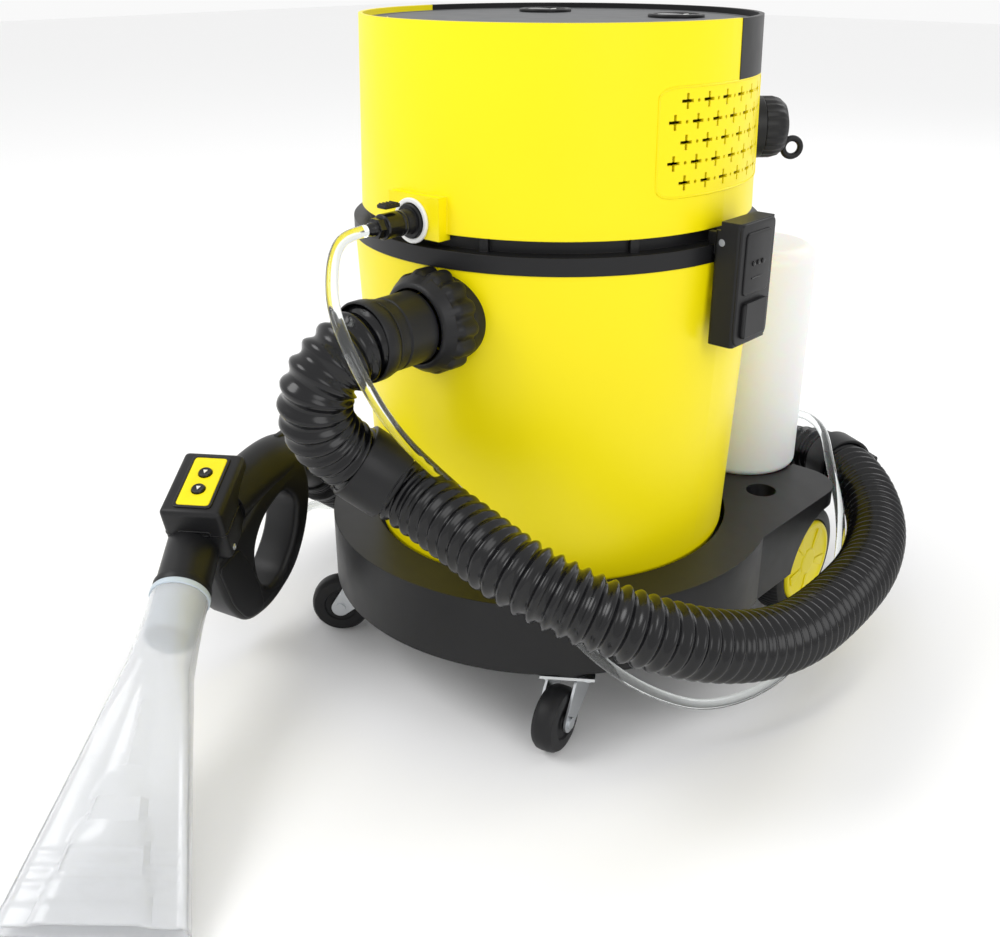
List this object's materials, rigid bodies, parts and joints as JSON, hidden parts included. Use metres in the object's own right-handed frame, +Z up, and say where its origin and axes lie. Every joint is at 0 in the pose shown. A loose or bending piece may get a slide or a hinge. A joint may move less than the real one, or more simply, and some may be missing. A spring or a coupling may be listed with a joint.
{
  "type": "spot extractor",
  "caption": "Upright wet spray extractor: round tank and motor head on a wheeled base, clean-water can, suction hose and hand tool with a clear nozzle.",
  "frame": {"origin": "on the floor, on the vertical axis of the round tank", "axes": "+Z up; the suction inlet faces -Y, the clean-water can and the fixed wheels are at +Y"},
  "size_m": [0.5451, 0.8392, 0.5],
  "materials": {
    "yellow_shell": "satin moulded",
    "black_plastic": "fine moulded texture",
    "grey_plastic": "satin moulded",
    "milky_plastic": "translucent blow moulded",
    "white_plastic": "gloss",
    "clear_plastic": "clear moulded",
    "hose_black": "satin corrugated",
    "black_rubber": "satin",
    "zinc_steel": "zinc plated",
    "motor_metal": "cast",
    "foam_grey": "open-cell foam",
    "board_green": "lacquered"
  },
  "bodies": {
    "machine": {"axle_clips": "zinc_steel", "base_tray": "black_plastic", "caster_plate_left": "zinc_steel", "caster_plate_right": "zinc_steel", "caster_screws": "zinc_steel", "clear_nozzle": "clear_plastic", "coupler_plug": "black_plastic", "coupler_ring": "white_plastic", "coupler_socket": "black_plastic", "exhaust_port": "black_plastic", "filter_foam": "foam_grey", "float_cage": "white_plastic", "head_ring": "black_plastic", "head_shell": "yellow_shell", "hose_clip_front": "black_plastic", "hose_clip_rear": "black_plastic", "hose_cuff": "black_plastic", "inlet_flange": "black_plastic", "latch_pins": "zinc_steel", "power_cord_gland": "black_plastic", "rear_axle": "zinc_steel", "rear_grip": "black_plastic", "solution_tube": "clear_plastic", "suction_hose": "hose_black", "switch_bezels": "grey_plastic", "tank": "yellow_shell", "tank_gasket": "black_rubber", "tool_board": "board_green", "tool_box": "black_plastic", "tool_cuff": "black_plastic", "tool_elbow": "black_plastic", "tool_handle": "black_plastic", "tool_label": "yellow_shell", "tool_pipe": "black_plastic", "top_cover": "grey_plastic", "vacuum_motor": "motor_metal", "water_pump": "black_plastic"},
    "caster_right": {"caster_fork_right": "zinc_steel", "caster_axle_right": "zinc_steel"},
    "caster_roller_right": {"caster_wheel_right": "black_rubber"},
    "caster_left": {"caster_fork_left": "zinc_steel", "caster_axle_left": "zinc_steel"},
    "caster_roller_left": {"caster_wheel_left": "black_rubber"},
    "wheel_right": {"rear_wheel_right": "black_rubber", "hub_cap_right": "yellow_shell"},
    "wheel_left": {"rear_wheel_left": "black_rubber", "hub_cap_left": "yellow_shell"},
    "clasp_right": {"latch_right": "black_plastic"},
    "clasp_left": {"latch_left": "black_plastic"},
    "collar": {"inlet_collar": "black_plastic"},
    "rocker_vacuum": {"switch_vacuum": "grey_plastic"},
    "rocker_pump": {"switch_pump": "grey_plastic"},
    "blow_cap": {"port_cap": "black_plastic"},
    "coupler_release": {"coupler_button": "black_plastic"},
    "fan": {"motor_fan": "motor_metal"},
    "float": {"float_ball": "white_plastic"},
    "clean_can": {"water_can": "milky_plastic"},
    "lid": {"can_lid": "white_plastic"},
    "suction_key": {"button_suction": "black_plastic"},
    "spray_key": {"button_spray": "black_plastic"}
  },
  "joints": [
    {"name": "caster_swivel_right", "type": "hinge", "parent": "machine", "child": "caster_right", "pos_m": [0.112, -0.113, 0.0585], "axis": [0, 0, 1], "continuous": true},
    {"name": "caster_roll_right", "type": "hinge", "parent": "caster_right", "child": "caster_roller_right", "pos_m": [0.116, -0.1326, 0.025], "axis": [0.9798, 0.2, 0], "continuous": true},
    {"name": "rear_wheel_roll_right", "type": "hinge", "parent": "machine", "child": "wheel_right", "pos_m": [0.145, 0.163, 0.05], "axis": [1, 0, 0], "continuous": true},
    {"name": "latch_swing_right", "type": "hinge", "parent": "machine", "child": "clasp_right", "pos_m": [0.158, 0, 0.364], "axis": [0, -1, 0], "range_deg": [0, 52]},
    {"name": "caster_swivel_left", "type": "hinge", "parent": "machine", "child": "caster_left", "pos_m": [-0.112, -0.113, 0.0585], "axis": [0, 0, 1], "continuous": true},
    {"name": "caster_roll_left", "type": "hinge", "parent": "caster_left", "child": "caster_roller_left", "pos_m": [-0.12696, -0.12628, 0.025], "axis": [0.6639, -0.7479, 0], "continuous": true},
    {"name": "rear_wheel_roll_left", "type": "hinge", "parent": "machine", "child": "wheel_left", "pos_m": [-0.145, 0.163, 0.05], "axis": [1, 0, 0], "continuous": true},
    {"name": "latch_swing_left", "type": "hinge", "parent": "machine", "child": "clasp_left", "pos_m": [-0.158, 0, 0.364], "axis": [0, 1, 0], "range_deg": [0, 52]},
    {"name": "collar_turn", "type": "hinge", "parent": "machine", "child": "collar", "pos_m": [0.024, -0.1684, 0.315], "axis": [0, -1, 0], "range_deg": [0, 60]},
    {"name": "switch_rock_vacuum", "type": "hinge", "parent": "machine", "child": "rocker_vacuum", "pos_m": [0.06, 0.057, 0.492], "axis": [0, 1, 0], "range_deg": [-7, 7]},
    {"name": "switch_rock_pump", "type": "hinge", "parent": "machine", "child": "rocker_pump", "pos_m": [-0.06, 0.057, 0.492], "axis": [0, 1, 0], "range_deg": [-7, 7]},
    {"name": "port_cap_pull", "type": "slide", "parent": "machine", "child": "blow_cap", "axis": [0.7071, 0.7071, 0], "range_m": [0, 0.025]},
    {"name": "coupler_press", "type": "slide", "parent": "machine", "child": "coupler_release", "axis": [0, 0, -1], "range_m": [0, 0.002], "stiffness_N_per_m": 300, "springref_m": -0.002},
    {"name": "fan_spin", "type": "hinge", "parent": "machine", "child": "fan", "pos_m": [0, 0, 0.37], "axis": [0, 0, 1], "continuous": true},
    {"name": "float_rise", "type": "slide", "parent": "machine", "child": "float", "axis": [0, 0, 1], "range_m": [0, 0.019]},
    {"name": "can_lift", "type": "slide", "parent": "machine", "child": "clean_can", "axis": [0, 0, 1], "range_m": [0, 0.06]},
    {"name": "lid_turn", "type": "hinge", "parent": "clean_can", "child": "lid", "pos_m": [0, 0.191, 0.32], "axis": [0, 0, 1], "range_deg": [0, 120]},
    {"name": "suction_press", "type": "slide", "parent": "machine", "child": "suction_key", "axis": [-0.1858, 0.2714, -0.9444], "range_m": [0, 0.0015], "stiffness_N_per_m": 250, "springref_m": -0.002},
    {"name": "spray_press", "type": "slide", "parent": "machine", "child": "spray_key", "axis": [-0.1858, 0.2714, -0.9444], "range_m": [0, 0.0015], "stiffness_N_per_m": 250, "springref_m": -0.002}
  ]
}
